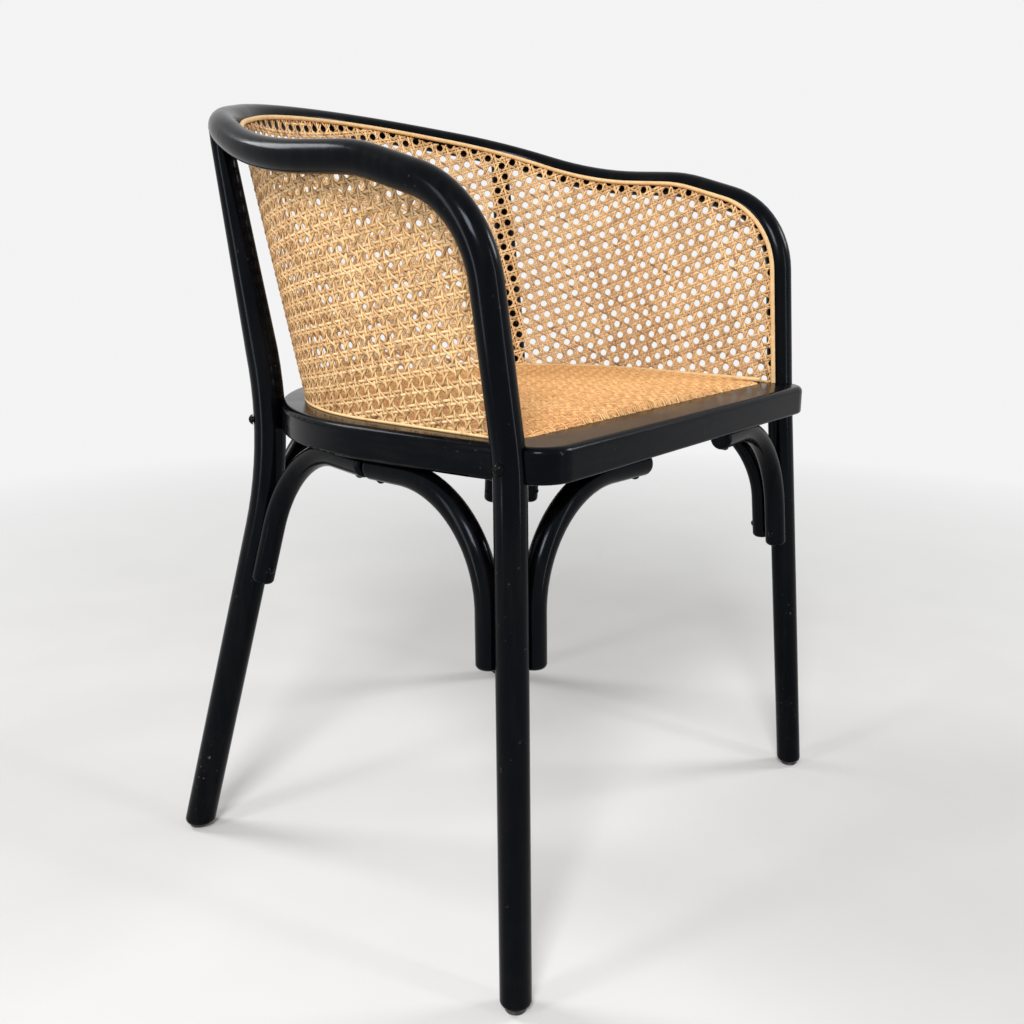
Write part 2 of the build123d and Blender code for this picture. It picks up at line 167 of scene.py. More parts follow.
def nicks_group() -> bpy.types.NodeTree:
    """Small chips and scuffs, more of them near the floor."""
    graph, given = open_group(
        Effect.NICKS.value,
        {"Density": "NodeSocketFloat"},
        {"Nick": "NodeSocketFloat", "Scuff": "NodeSocketFloat"},
    )
    place = graph.place()
    height = graph.add("ShaderNodeSeparateXYZ", {0: place}).outputs[2]
    low = graph.ramp(height, 0.02, 0.22, 1.0, 0.3)
    density = graph.math("MULTIPLY", low, given.outputs["Density"])
    chips = graph.ramp(graph.noise(place, 230.0, 3.0), 0.67, 0.71)
    patches = graph.ramp(graph.noise(place, 19.0, 1.0), 0.6, 0.66)
    nick = graph.math("MULTIPLY", graph.math("MULTIPLY", chips, patches), density)
    scuff = graph.math("MULTIPLY", graph.ramp(graph.noise(place, 46.0, 6.0, 0.7), 0.5, 0.72), density)
    graph.add("NodeGroupOutput", {"Nick": nick, "Scuff": scuff})
    return graph.tree


def strand_group() -> bpy.types.NodeTree:
    """Colour and fibres of a cane strand, from its tone and the length along it, with painted shade towards
    its edges.
    """
    graph, given = open_group(
        Effect.STRAND.value,
        {"Pale": "NodeSocketColor", "Deep": "NodeSocketColor", "Streak_And_Edge_Shade": "NodeSocketColor"},
        {"Colour": "NodeSocketColor", "Fibre": "NodeSocketFloat"},
    )
    tone = graph.add("ShaderNodeAttribute", attribute_name="tone").outputs["Fac"]
    along = graph.add("ShaderNodeAttribute", attribute_name="along").outputs["Fac"]
    edge = graph.add("ShaderNodeAttribute", attribute_name="edge").outputs["Fac"]
    strand = graph.add("ShaderNodeCombineXYZ", {0: along, 1: graph.math("MULTIPLY", tone, 97.0)}).outputs[0]
    drift = graph.noise(strand, 17.0, 2.0)
    shade = graph.math("ADD", graph.math("MULTIPLY", tone, 0.7), graph.math("MULTIPLY", drift, 0.7))
    base = graph.blend(graph.ramp(shade, 0.3, 1.0), given.outputs["Pale"], given.outputs["Deep"])
    streaks = graph.ramp(graph.noise(strand, 61.0, 3.0), 0.56, 0.68, 0.0, 0.75)
    fibre = graph.noise(graph.place(), 1400.0, 3.0)
    speckled = graph.blend(graph.ramp(fibre, 0.5, 0.75, 0.0, 0.35), base, given.outputs["Streak_And_Edge_Shade"])
    # Painted shade: each strand darkens towards its edges, as if shaded by its rounding and the gaps beside
    # it.
    edge_shaded = graph.blend(graph.ramp(edge, 0.5, 1.0, 0.0, 0.95), speckled, given.outputs["Streak_And_Edge_Shade"])
    colour = graph.blend(streaks, edge_shaded, given.outputs["Streak_And_Edge_Shade"])
    graph.add("NodeGroupOutput", {"Colour": colour, "Fibre": fibre})
    return graph.tree


class Finish:
    """A surface finish that makes its own material once."""

    name: str

    def material(self) -> bpy.types.Material:
        """Return the finish's material, made on first use."""
        label = f"{self.name}_finish"
        known = bpy.data.materials.get(label)
        if known:
            return known
        made = bpy.data.materials.new(label)
        made.use_nodes = True
        graph = Graph(made.node_tree)
        surface = graph.add("ShaderNodeBsdfPrincipled")
        graph.add("ShaderNodeOutputMaterial", {"Surface": surface.outputs[0]})
        self.paint(graph, surface)
        return made

    def paint(self, graph: Graph, surface: bpy.types.Node) -> None:
        """Set the surface's inputs."""
        raise NotImplementedError

    def use(self, graph: Graph, effect: Effect, inputs: dict) -> bpy.types.Node:
        """Add a shared effect to the material."""
        node = graph.add("ShaderNodeGroup", node_tree=effect.group())
        for key, value in inputs.items():
            node.inputs[key].default_value = value
        return node

    def bump(
        self, graph: Graph, surface: bpy.types.Node, height: Socket, distance: float, strength: float
    ) -> None:
        """Give the surface a fine relief."""
        inputs = {"Height": height, "Distance": distance, "Strength": strength}
        relief = graph.add("ShaderNodeBump", inputs)
        graph.tree.links.new(relief.outputs[0], surface.inputs["Normal"])

    def link(self, graph: Graph, surface: bpy.types.Node, **sockets: Socket) -> None:
        """Link values to the surface's inputs, named with underscores for spaces."""
        for name, socket in sockets.items():
            graph.tree.links.new(socket, surface.inputs[name.replace("_", " ")])


@dataclass(frozen=True)
class Lacquer(Finish):
    """Satin black lacquer on wood, with grain that shows through and worn spots."""

    name: str
    stretch: tuple[float, float, float]
    black: Colour = (0.0007, 0.0008, 0.0014, 1)
    brown: Colour = (0.0035, 0.0032, 0.0034, 1)
    bare: Colour = (0.2, 0.18, 0.16, 1)
    sheen: Colour = (0.66, 0.8, 1.0, 1)
    density: float = 0.4
    scuff_shade: float = 0.03
    scuff_roughness: float = 0.2
    specular: float = 0.05
    coat: float = 0.05
    coat_roughness: float = 0.07
    nick_depth: float = 1.5
    relief: float = 0.0003
    relief_strength: float = 0.22

    def paint(self, graph: Graph, surface: bpy.types.Node) -> None:
        """Set the surface's inputs."""
        grain = self.use(graph, Effect.GRAIN, {"Stretch": self.stretch})
        worn = self.use(graph, Effect.NICKS, {"Density": self.density})
        fibre, blotch = grain.outputs["Grain"], grain.outputs["Blotch"]
        nick, scuff = worn.outputs["Nick"], worn.outputs["Scuff"]
        wood = graph.blend(graph.ramp(fibre, 0.45, 0.75), self.black, self.brown)
        scuffed = graph.blend(graph.math("MULTIPLY", scuff, self.scuff_shade), wood, self.bare)
        uneven = graph.math("ADD", blotch, graph.math("MULTIPLY", fibre, 0.6))
        gloss = graph.ramp(uneven, 0.55, 1.05, 0.15, 0.27)
        self.link(
            graph,
            surface,
            Base_Color=graph.blend(nick, scuffed, self.bare),
            Roughness=graph.math("ADD", gloss, graph.math("MULTIPLY", scuff, self.scuff_roughness)),
        )
        surface.inputs["Specular IOR Level"].default_value = self.specular
        surface.inputs["Specular Tint"].default_value = self.sheen
        surface.inputs["Coat Weight"].default_value = self.coat
        surface.inputs["Coat Roughness"].default_value = self.coat_roughness
        height = graph.math("SUBTRACT", fibre, graph.math("MULTIPLY", nick, self.nick_depth))
        self.bump(graph, surface, height, self.relief, self.relief_strength)


@dataclass(frozen=True)
class Cane(Finish):
    """Cane skin, glossy, with a tone of its own for each strand and painted shade at its edges."""

    name: str
    pale: Colour
    deep: Colour
    # Dark colour for streaks and specks, and for the painted shade at the strands' edges.
    streak_and_edge_shade: Colour
    roughness: float = 0.42
    relief: float = 0.0002
    relief_strength: float = 0.3

    def paint(self, graph: Graph, surface: bpy.types.Node) -> None:
        """Set the surface's inputs."""
        colours = {"Pale": self.pale, "Deep": self.deep, "Streak_And_Edge_Shade": self.streak_and_edge_shade}
        strand = self.use(graph, Effect.STRAND, colours)
        self.link(graph, surface, Base_Color=strand.outputs["Colour"])
        surface.inputs["Roughness"].default_value = self.roughness
        self.bump(graph, surface, strand.outputs["Fibre"], self.relief, self.relief_strength)


@dataclass(frozen=True)
class RawWood(Finish):
    """Bare wood or reed with fibres and slow changes of colour."""

    name: str
    stretch: tuple[float, float, float]
    pale: Colour
    deep: Colour
    roughness: float = 0.55
    relief: float = 0.0004
    relief_strength: float = 0.3

    def paint(self, graph: Graph, surface: bpy.types.Node) -> None:
        """Set the surface's inputs."""
        grain = self.use(graph, Effect.GRAIN, {"Stretch": self.stretch})
        fibre, blotch = grain.outputs["Grain"], grain.outputs["Blotch"]
        shade = graph.math("ADD", graph.math("MULTIPLY", fibre, 0.7), graph.math("MULTIPLY", blotch, 0.5))
        self.link(graph, surface, Base_Color=graph.blend(graph.ramp(shade, 0.4, 0.85), self.pale, self.deep))
        surface.inputs["Roughness"].default_value = self.roughness
        self.bump(graph, surface, fibre, self.relief, self.relief_strength)


@dataclass(frozen=True)
class Metal(Finish):
    """Turned metal, bare or blackened, with a fine uneven sheen."""

    name: str
    colour: Colour
    worn: Colour
    metallic: float
    roughness: float
    specular: float = 0.5

    def paint(self, graph: Graph, surface: bpy.types.Node) -> None:
        """Set the surface's inputs."""
        place = graph.place()
        patch = graph.ramp(graph.noise(place, 260.0, 4.0), 0.52, 0.7, 0.0, 0.6)
        smooth, rough = self.roughness - 0.08, self.roughness + 0.1
        sheen = graph.ramp(graph.noise(place, 120.0, 3.0), 0.3, 0.7, smooth, rough)
        self.link(graph, surface, Base_Color=graph.blend(patch, self.colour, self.worn), Roughness=sheen)
        surface.inputs["Metallic"].default_value = self.metallic
        surface.inputs["Specular IOR Level"].default_value = self.specular


@dataclass(frozen=True)
class Plastic(Finish):
    """Moulded plastic, matt, with dusty patches."""

    name: str
    colour: Colour
    dust: Colour
    roughness: float = 0.6

    def paint(self, graph: Graph, surface: bpy.types.Node) -> None:
        """Set the surface's inputs."""
        dusty = graph.ramp(graph.noise(graph.place(), 300.0, 5.0), 0.5, 0.75, 0.0, 0.5)
        self.link(graph, surface, Base_Color=graph.blend(dusty, self.colour, self.dust))
        surface.inputs["Roughness"].default_value = self.roughness


UPRIGHT_LACQUER = Lacquer("upright_lacquer", (90, 90, 7))
RING_LACQUER = Lacquer("ring_lacquer", (24, 24, 160), density=0.35)
# Each cane's third colour is for streaks and specks and for the painted shade at the strands' edges.
OPEN_CANE = Cane("open_cane", (0.98, 0.66, 0.32, 1), (0.6, 0.34, 0.13, 1), (0.17, 0.065, 0.016, 1))
DARK_CANE = Cane("dark_cane", (0.86, 0.55, 0.24, 1), (0.46, 0.24, 0.08, 1), (0.12, 0.045, 0.011, 1))
# Warp and weft are a lit and a shaded copy of one cane: painted light and shade that bring out the weave.
LIT_WARP_CANE = Cane("lit_warp_cane", (0.97, 0.61, 0.28, 1), (0.78, 0.41, 0.14, 1), (0.44, 0.19, 0.05, 1), 0.45)
SHADED_WEFT_CANE = Cane("shaded_weft_cane", (0.84, 0.47, 0.18, 1), (0.62, 0.29, 0.09, 1), (0.42, 0.17, 0.045, 1), 0.5)
# The seat panel under the strands, in cane darker than the strands: partly the cane beneath, partly painted
# shade in the gaps between strands.
SHADED_CANE_BED = RawWood("shaded_cane_bed", (300, 300, 300), (0.58, 0.3, 0.1, 1), (0.4, 0.2, 0.06, 1))
REED = RawWood("reed", (180, 180, 180), (0.86, 0.6, 0.31, 1), (0.6, 0.36, 0.15, 1))
PLYWOOD = RawWood("plywood", (20, 120, 300), (0.6, 0.42, 0.24, 1), (0.42, 0.27, 0.13, 1), 0.7)
BEECH = RawWood("beech", (200, 200, 30), (0.66, 0.46, 0.28, 1), (0.5, 0.32, 0.17, 1), 0.6)
DARK_STEEL = Metal("dark_steel", (0.002, 0.002, 0.0025, 1), (0.006, 0.005, 0.005, 1), 0.0, 0.24, 0.06)
ZINC_STEEL = Metal("zinc_steel", (0.55, 0.56, 0.58, 1), (0.36, 0.35, 0.33, 1), 1.0, 0.36)
GLIDE = Plastic("glide_plastic", (0.02, 0.02, 0.02, 1), (0.2, 0.19, 0.17, 1))


def surface_tree(node: str) -> BVHTree:
    """Return a search tree of a CAD node's surface."""
    mesh = bmesh.new()
    mesh.from_mesh(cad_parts[node].data)
    tree = BVHTree.FromBMesh(mesh)
    mesh.free()
    return tree


def strand_tone(number: int, salt: float) -> float:
    """Return a fixed tone of 0 to 1 for a strand's number."""
    return (math.sin(number * TONE_STEP + salt) * TONE_SPREAD) % 1.0


@dataclass(frozen=True)
class StrandForm:
    """Cross-section of a strand."""

    width: float
    thickness: float
    sides: int


class StrandMesh:
    """Strands laid straight on a flat sheet, then wrapped onto a surface."""

    def __init__(self, form: StrandForm) -> None:
        """Start with no strand."""
        self.form = form
        self.mesh = bmesh.new()
        self.scratch = bpy.data.meshes.new("strand")

    def lay(self, start: Vector, direction: Vector, step: float, steps: int) -> None:
        """Add one straight strand of even steps.

        Args:
            start: Where it starts on the sheet.
            direction: Unit vector along it.
            step: Length of a step.
            steps: How many steps it has.
        """
        length = step * steps
        across = UP.cross(direction) * (self.form.width / 2)
        high = UP * (self.form.thickness / 2)
        place = Matrix((across, high, direction * length)).transposed().to_4x4()
        place.translation = start + direction * (length / 2)
        strand = bmesh.new()
        bmesh.ops.create_cone(
            strand, cap_ends=True, segments=self.form.sides, radius1=1.0, radius2=1.0, depth=1.0, matrix=place
        )
        lengthwise = [
            e for e in strand.edges if abs((e.verts[0].co - e.verts[1].co).dot(direction)) > length / 2
        ]
        bmesh.ops.subdivide_edges(strand, edges=lengthwise, cuts=steps - 1)
        strand.to_mesh(self.scratch)
        strand.free()
        self.mesh.from_mesh(self.scratch)

    def wrap(self, rule: Callable[[Vector], Woven]) -> None:
        """Move each vertex by a rule that gives its place and its strand's tone, length and offset."""
        tone = self.mesh.verts.layers.float.new("tone")
        along = self.mesh.verts.layers.float.new("along")
        edge = self.mesh.verts.layers.float.new("edge")
        for vert in self.mesh.verts:
            vert.co, vert[tone], vert[along], offset = rule(vert.co.copy())
            # The offset from the strand's middle, as a share of its half width, sets the painted shade at its
            # edges.
            vert[edge] = abs(offset) / (self.form.width / 2)

    def piece(self, name: str, finish: Finish) -> bpy.types.Object:
        """Return the strands as a piece of the chair.

        Args:
            name: The piece's name.
            finish: What it is made of.

        Returns:
            The new object, riding on the chair.
        """
        for face in self.mesh.faces:
            face.smooth = True
        data = bpy.data.meshes.new(name)
        self.mesh.to_mesh(data)
        self.mesh.free()
        bpy.data.meshes.remove(self.scratch)
        data.materials.append(finish.material())
        made = bpy.data.objects.new(name, data)
        bpy.context.scene.collection.objects.link(made)
        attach(made, BODY)
        LOG.info("%s: %d faces", name, len(data.polygons))
        return made


@dataclass(frozen=True)
class Strip:
    """A narrow plane strip of the wall, as it lies flat and as it stands on the chair."""

    foot: Vector
    rise: Vector
    run: Vector
    real_foot: Vector
    real_rise: Vector
    real_run: Vector

    def real(self, flat: Vector) -> Vector:
        """Return the place on the chair of a point of the flat sheet."""
        step = flat - self.foot
        inwards = self.real_run.cross(self.real_rise)
        return (
            self.real_foot
            + self.real_rise * step.dot(self.rise)
            + self.real_run * step.dot(self.run)
            + inwards * flat.z
        )


@dataclass
class CaneWall:
    """The back's leaning wall, laid flat as narrow plane strips with the back's middle upright."""

    seat_height: float = 465 * MM
    top_height: float = 760 * MM
    front_y: float = -260 * MM
    centre_y: float = -60 * MM
    centre_lean: float = 0.19
    half_width: float = 225 * MM
    side_lean: float = 0.07
    strips_per_side: int = 90
    strips: list[Strip] = field(default_factory=list)

    def __post_init__(self) -> None:
        """Lay the wall flat."""
        turns = range(-self.strips_per_side, self.strips_per_side + 1)
        quarter = math.pi / 2
        rulings = [[self.beside(-1, z) for z in self.heights()]]
        for i in turns:
            rulings.append([self.around(quarter * i / self.strips_per_side, z) for z in self.heights()])
        rulings.append([self.beside(1, z) for z in self.heights()])
        foot, rise = Vector((0, 0, 0)), Vector((0, 1, 0))
        for (low, high), (next_low, next_high) in zip(rulings, rulings[1:]):
            real_rise = (high - low).normalized()
            real_run = next_low - low
            real_run = (real_run - real_rise * real_run.dot(real_rise)).normalized()
            run = rise.cross(UP)
            self.strips.append(Strip(foot, rise, run, low, real_rise, real_run))
            ends = []
            for point in (next_low, next_high):
                step = point - low
                ends.append(foot + rise * step.dot(real_rise) + run * step.dot(real_run))
            foot, rise = ends[0], (ends[1] - ends[0]).normalized()
        self._set_upright()

    def heights(self) -> tuple[float, float]:
        """Return the levels between which the wall is ruled."""
        return self.seat_height, self.top_height

    def radius(self, height: float) -> float:
        """Return the half width of the wall's middle surface at a height."""
        return self.half_width + self.side_lean * (height - self.seat_height)

    def around(self, turn: float, height: float) -> Vector:
        """Return a point of the round back, by its turn from the back's middle."""
        radius = self.radius(height)
        middle = self.centre_y + self.centre_lean * (height - self.seat_height)
        return Vector((radius * math.sin(turn), middle + radius * math.cos(turn), height))

    def beside(self, side: int, height: float) -> Vector:
        """Return the front end of the straight side at a height."""
        return Vector((side * self.radius(height), self.front_y, height))

    def foot_length(self) -> float:
        """Return the length of the wall's foot, from one front end round to the other."""
        return 2 * (self.centre_y - self.front_y) + math.pi * self.half_width

    def foot(self, distance: float) -> tuple[Vector, Vector]:
        """Return a point of the foot and the way outwards, by its distance from the right front end."""
        straight = self.centre_y - self.front_y
        turn = (distance - straight) / self.half_width - math.pi / 2
        if abs(turn) <= math.pi / 2:
            return self.around(turn, self.seat_height), Vector((math.sin(turn), math.cos(turn), 0))
        side = 1 if turn > 0 else -1
        short = min(distance, self.foot_length() - distance)
        return self.beside(side, self.seat_height) + Vector((0, short, 0)), Vector((side, 0, 0))

    def _set_upright(self) -> None:
        """Turn and move the flat sheet so that the back's middle is upright at the origin."""
        middle = self.strips[self.strips_per_side + 1]
        turn = Matrix.Rotation(-math.atan2(-middle.rise.x, middle.rise.y), 3, "Z")
        self.strips = [
            replace(s, foot=turn @ (s.foot - middle.foot), rise=turn @ s.rise, run=turn @ s.run)
            for s in self.strips
        ]

    def real(self, flat: Vector) -> Vector:
        """Return the place on the chair of a point of the flat sheet, its Z being the way off the sheet."""
        low, high = 0, len(self.strips)
        while high - low > 1:
            mid = (low + high) // 2
            strip = self.strips[mid]
            if (flat - strip.foot).dot(strip.run) >= 0:
                low = mid
            else:
                high = mid
        return self.strips[low].real(flat)


@dataclass(frozen=True)
class Family:
    """One set of parallel strands in the webbing."""

    name: str
    direction: Vector
    spacing: float
    offset: float
    step: float
    form: StrandForm
    lift: Callable[[float, float], float]
    finish: Finish = OPEN_CANE

    def across(self, flat: Vector) -> float:
        """Return the distance across the strands."""
        return flat.dot(UP.cross(self.direction))

    def number(self, flat: Vector) -> int:
        """Return the number of the strand that a point belongs to."""
        return round((self.across(flat) - self.offset) / self.spacing)

    def beside(self, flat: Vector) -> float:
        """Return the distance of a point from its strand's middle."""
        return self.across(flat) - self.offset - self.number(flat) * self.spacing


class Anchors:
    """The sheet that strands lie on, and the rods and ring that hold their ends."""

    near_sheet = 6.0 * MM
    grip = 0.8 * MM
    stretch = 18.0 * MM

    def __init__(self) -> None:
        """Read the surfaces from the frame."""
        self.sheet = surface_tree("cane_back")
        self.holders = [surface_tree(node) for node in ("rail_spline", "arm_back_hoop", "seat_frame")]

    def held(self, place: Vector) -> bool:
        """Tell whether a place is inside or against something that holds strands."""
        for holder in self.holders:
            spot, normal, _, distance = holder.find_nearest(place)
            if distance < self.grip or (place - spot).dot(normal) < 0:
                return True
        return False

    def laid(self, places: list[Vector], step: float) -> list[bool]:
        """Tell which places of a line carry the strand.

        Args:
            places: Even steps along the line.
            step: Their distance.

        Returns:
            For each place, whether it is near the sheet or between the sheet and what holds the strand.
        """
        near = [self.sheet.find_nearest(place, self.near_sheet)[0] is not None for place in places]
        laid = list(near)
        for i in range(1, len(places) - 1):
            for way in (-1, 1):
                if not near[i] or near[i + way]:
                    continue
                reach = round(self.stretch / step)
                further = [i + way * k for k in range(reach + 1) if 0 <= i + way * k < len(places)]
                ends = [k for k, j in enumerate(further) if self.held(places[j])]
                for j in further[: ends[0] + 1 if ends else 0]:
                    laid[j] = True
        return laid


@dataclass
class Webbing:
    """Open six-way cane webbing: upright and level pairs with two diagonals, woven over and under."""

    wall: CaneWall
    pitch: float = 13.35 * MM
    turn: float = 5.5
    pair_offset: float = 1.7 * MM
    pair_form: StrandForm = StrandForm(2.95 * MM, 1.1 * MM, 6)
    diagonal_form: StrandForm = StrandForm(2.6 * MM, 1.0 * MM, 6)
    pair_lift: float = 0.45 * MM
    diagonal_lift: float = 0.9 * MM
    pair_steps: int = 6
    selvedge_form: StrandForm = StrandForm(2.8 * MM, 2.0 * MM, 6)
    selvedge_rise: float = 1.0 * MM
    selvedge_steps: int = 400
    selvedge_tone: float = 0.3
    reach: float = 0.85

    def pair_wave(self, beside: float, along: float) -> float:
        """Return how far a strand of a pair stands off the sheet where it meets the other pairs.

        Args:
            beside: Distance across the strand's own pairs.
            along: Distance along the strand.

        Returns:
            The lift, nothing away from a crossing.
        """
        side = 1 if (beside / self.pitch) % 1 > 0.5 else -1
        away = ((along / self.pitch) % 1 - 0.5) * self.pitch
        if abs(away) > 2 * self.pair_offset:
            return 0.0
        return side * self.pair_lift * math.sin(math.pi / 2 * away / self.pair_offset)

    def diagonal_wave(self, along: float) -> float:
        """Return how far the rising diagonals stand off the sheet."""
        return -self.diagonal_lift * math.cos(2 * math.pi * along / self.pitch)

    def families(self) -> list[Family]:
        """Return the six sets of strands."""
        half = self.pitch / 2
        step = self.pitch / self.pair_steps
        slant = math.sqrt(0.5)
        made = []
        for label, offset in (("first", half - self.pair_offset), ("second", half + self.pair_offset)):
            made.append(
                Family(
                    f"cane_upright_{label}",
                    Vector((0, 1, 0)),
                    self.pitch,
                    offset,
                    step,
                    self.pair_form,
                    self.pair_wave,
                )
            )
            made.append(
                Family(
                    f"cane_level_{label}",
                    Vector((1, 0, 0)),
                    self.pitch,
                    offset,
                    step,
                    self.pair_form,
                    lambda u, v: -self.pair_wave(v, u),
                )
            )
        for label, rise, finish in (("rising", 1, OPEN_CANE), ("falling", -1, DARK_CANE)):
            made.append(
                Family(
                    f"cane_{label}",
                    Vector((slant, slant * rise, 0)),
                    self.pitch * slant,
                    half * slant,
                    half * slant,
                    self.diagonal_form,
                    lambda u, v, sign=rise: sign * self.diagonal_wave(u),
                    finish,
                )
            )
        return made

    def build(self) -> None:
        """Weave every set of strands onto the wall."""
        anchors = Anchors()
        for salt, family in enumerate(self.families()):
            strands = StrandMesh(family.form)
            for start, steps in self.runs(family, anchors):
                strands.lay(start, family.direction, family.step, steps)
            strands.wrap(lambda flat, f=family, s=salt: self.woven(flat, f, s))
            made = strands.piece(family.name, family.finish)
            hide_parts("cane_back")
        self.selvedge()

    def selvedge(self) -> None:
        """Lay the webbing's closed edge along the foot of the wall, outside."""
        steps = self.selvedge_steps
        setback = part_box("cane_back")[0].y - self.wall.front_y
        length = self.wall.foot_length() - 2 * setback
        strands = StrandMesh(self.selvedge_form)
        strands.lay(Vector((setback, 0, 0)), Vector((1, 0, 0)), length / steps, steps)
        strands.wrap(self.beside_foot)
        made = strands.piece("cane_selvedge", OPEN_CANE)
        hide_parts("cane_back")

    def beside_foot(self, flat: Vector) -> Woven:
        """Return a selvedge vertex's place on the chair, and its tone, length and offset there."""
        foot, outwards = self.wall.foot(flat.x)
        off = self.selvedge_form.thickness / 2 + flat.z
        place = foot + outwards * off + UP * (self.selvedge_rise + flat.y)
        # Half the offset keeps the painted shade at the strand's edges light.
        return place, self.selvedge_tone, flat.x, flat.y / 2

    def woven(self, flat: Vector, family: Family, salt: int) -> Woven:
        """Return a vertex's place on the chair, and its strand's tone, length and offset there."""
        along = flat.dot(family.direction)
        tone = strand_tone(family.number(flat), salt)
        flat.z += family.lift(flat.x, flat.y)
        return self.real(flat), tone, along, family.beside(flat)

    def real(self, flat: Vector) -> Vector:
        """Return the place on the chair of a point of the webbing, which is laid slightly turned."""
        return self.wall.real(Matrix.Rotation(math.radians(self.turn), 3, "Z") @ flat)

    def runs(self, family: Family, anchors: Anchors) -> list[tuple[Vector, int]]:
        """Find where a set's strands lie on the chair's sheet.

        Args:
            family: The set of strands.
            anchors: What the strands lie on and what holds their ends.

        Returns:
            The start and the number of steps of each strand.
        """
        found = []
        sideways = UP.cross(family.direction)
        lines = round(self.reach / family.spacing)
        samples = round(self.reach / family.step)
        for line in range(-lines, lines + 1):
            base = sideways * (family.offset + line * family.spacing)
            steps = range(-samples, samples + 1)
            places = [self.real(base + family.direction * (i * family.step)) for i in steps]
            laid = anchors.laid(places, family.step)
            first = None
            for i, inside in enumerate([*laid, False]):
                if inside and first is None:
                    first = i
                elif not inside and first is not None:
                    if i - 1 > first:
                        start = base + family.direction * ((first - samples) * family.step)
                        found.append((start, i - 1 - first))
                    first = None
        return found


@dataclass
class SeatWeave:
    """Close-woven seat: flat strands in a pointed twill over the crowned panel."""

    pitch: float = 3.3 * MM
    form: StrandForm = StrandForm(2.8 * MM, 1.9 * MM, 4)
    wave: float = 0.9 * MM
    roll: float = 3.0 * MM
    roll_steps: int = 2
    roll_relief: float = 0.3
    point: int = 4
    repeat: int = 4
    warp_salt: float = 3.0
    weft_salt: float = 8.0
    above: float = 0.6
    half_reach: float = 0.24
    centre_y: float = -60 * MM
    rim_height: float = 465 * MM

    def build(self) -> None:
        """Weave the strands of both directions onto the panel."""
        panel = surface_tree("seat_cane")
        count = round(self.half_reach / self.pitch)
        for name, direction, finish in (
            ("seat_warp", Vector((0, 1, 0)), LIT_WARP_CANE),
            ("seat_weft", Vector((1, 0, 0)), SHADED_WEFT_CANE),
        ):
            sideways = UP.cross(direction)
            strands = StrandMesh(self.form)
            for line in range(-count, count):
                base = Vector((0, self.centre_y, 0)) + sideways * ((line + 0.5) * self.pitch)
                on = [
                    i
                    for i in range(-count, count)
                    if self.hit(panel, base + direction * ((i + 0.5) * self.pitch)) is not None
                ]
                if len(on) > 1:
                    start = base + direction * ((on[0] - self.roll_steps + 0.5) * self.pitch)
                    strands.lay(start, direction, self.pitch, on[-1] - on[0] + 2 * self.roll_steps)
            strands.wrap(lambda flat, d=direction, p=panel: self.woven(flat, d, p))
            strands.piece(name, finish)

    def hit(self, panel: BVHTree, flat: Vector) -> Vector | None:
        """Return the panel's top below a point, if there is any."""
        return panel.ray_cast(Vector((flat.x, flat.y, self.above)), -UP)[0]

    def woven(self, flat: Vector, direction: Vector, panel: BVHTree) -> Woven:
        """Return a vertex's place on the panel, and its strand's tone, length and offset there."""
        column = round(flat.x / self.pitch - 0.5)
        row = round((flat.y - self.centre_y) / self.pitch - 0.5)
        fold = column % (2 * self.point)
        slant = fold if fold < self.point else 2 * self.point - 1 - fold
        warp_above = (slant + row) % self.repeat < self.repeat // 2
        is_warp = direction.y > 0.5
        sign = 1 if warp_above == is_warp else -1
        top = self.hit(panel, flat)
        sharp = 1.0
        if top is None:
            level = Vector((flat.x, flat.y, self.rim_height))
            edge = panel.find_nearest(level)[0]
            out = level - edge
            if out.length > self.roll:
                out *= self.roll / out.length
            top = edge + out
            # Over the roll the strands' wave and their painted edge shade are both weaker.
            sharp = self.roll_relief
        place = Vector((top.x, top.y, top.z + flat.z + sign * sharp * self.wave))
        if is_warp:
            offset = flat.x - (column + 0.5) * self.pitch
            return place, strand_tone(column, self.warp_salt), flat.y, sharp * offset
        offset = flat.y - self.centre_y - (row + 0.5) * self.pitch
        return place, strand_tone(row, self.weft_salt), flat.x, sharp * offset


@dataclass(frozen=True)
class Dressing:
    """CAD nodes that are shown as they are, and their finish."""

    finish: Finish
    nodes: tuple[str, ...]

    def dress(self) -> None:
        """Give the nodes their material."""
        for node in self.nodes:
            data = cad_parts[node].data
            data.materials.clear()
            data.materials.append(self.finish.material())
            LOG.info("%s: %s", node, self.finish.name)


BRACES = tuple(
    f"{name}_{side}"
    for name in ("front_side_brace", "front_brace", "rear_side_brace", "rear_brace")
    for side in ("right", "left")
)
DRESSINGS = (
    Dressing(UPRIGHT_LACQUER, ("arm_back_hoop", "rear_leg_right", "rear_leg_left", *BRACES)),
    Dressing(RING_LACQUER, ("seat_frame",)),
    Dressing(SHADED_CANE_BED, ("seat_cane",)),
    Dressing(REED, ("rail_spline", "base_spline")),
    Dressing(PLYWOOD, ("seat_board",)),
    Dressing(BEECH, ("rail_dowels",)),
    Dressing(DARK_STEEL, ("front_leg_screws", "rear_leg_bolts", "brace_screws")),
    Dressing(ZINC_STEEL, ("rear_bolt_washers", "rear_bolt_nuts", "seat_board_screws")),
    Dressing(GLIDE, ("foot_glides",)),
)


@dataclass(frozen=True)
class Lamp:
    """A soft lamp that looks at the chair."""

    name: str
    place: tuple[float, float, float]
    width: float
    height: float
    watts: float

    def light(self, target: Vector) -> None:
        """Put the lamp in the studio."""
        data = bpy.data.lights.new(self.name, "AREA")
        data.shape = "RECTANGLE"
        data.size = self.width
        data.size_y = self.height
        data.energy = self.watts
        lamp = bpy.data.objects.new(self.name, data)
        lamp.location = self.place
        lamp.rotation_euler = (target - lamp.location).to_track_quat("-Z", "Y").to_euler()
        bpy.context.scene.collection.objects.link(lamp)


